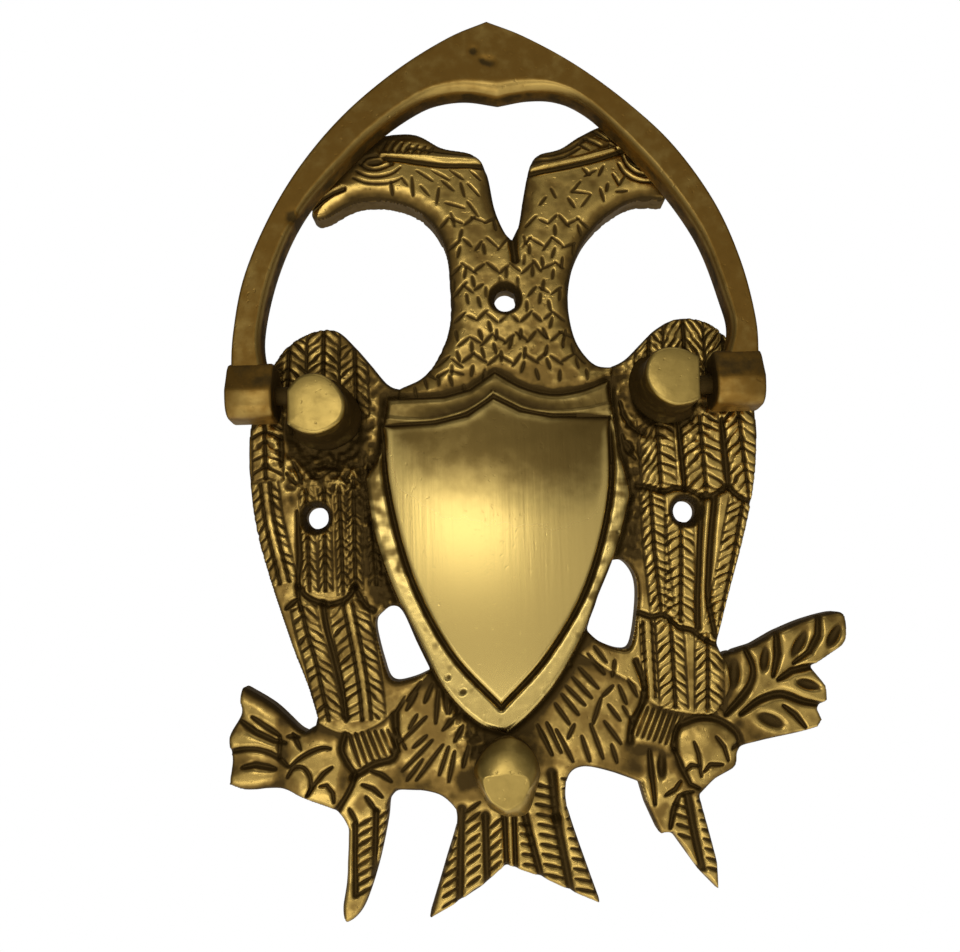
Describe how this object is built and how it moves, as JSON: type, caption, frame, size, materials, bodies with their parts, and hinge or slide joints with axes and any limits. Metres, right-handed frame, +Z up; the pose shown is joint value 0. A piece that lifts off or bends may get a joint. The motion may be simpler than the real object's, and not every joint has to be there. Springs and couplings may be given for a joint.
{
  "type": "door knocker",
  "caption": "Cast brass door knocker: a double-headed eagle back plate with a shield, and a pointed arch bail that swings down from hinge pins onto a riveted strike stud.",
  "frame": {"origin": "in the plane of the door, midway between the screw holes in the two wings", "axes": "+Z up along the eagle, +Y into the door, +X to the viewer's right"},
  "size_m": [0.1361, 0.02, 0.1973],
  "materials": {
    "aged_brass": "cast and darkened in the hollows, worn bright on the ridges",
    "bail_brass": "smooth and aged",
    "bare_brass": "filed flat and worn bright",
    "pin_brass": "drawn rod, dulled"
  },
  "bodies": {
    "plate": {"back_plate": "aged_brass", "hinge_lug_left": "bare_brass", "hinge_lug_right": "bare_brass", "strike_stud": "bare_brass"},
    "bail": {"knocker_bail": "bail_brass", "hinge_pin_left": "pin_brass", "hinge_pin_right": "pin_brass"}
  },
  "joints": [
    {"name": "bail_hinge", "type": "hinge", "parent": "plate", "child": "bail", "pos_m": [0, -0.0135, 0.0263], "axis": [1, 0, 0], "range_deg": [0, 178.9]}
  ]
}
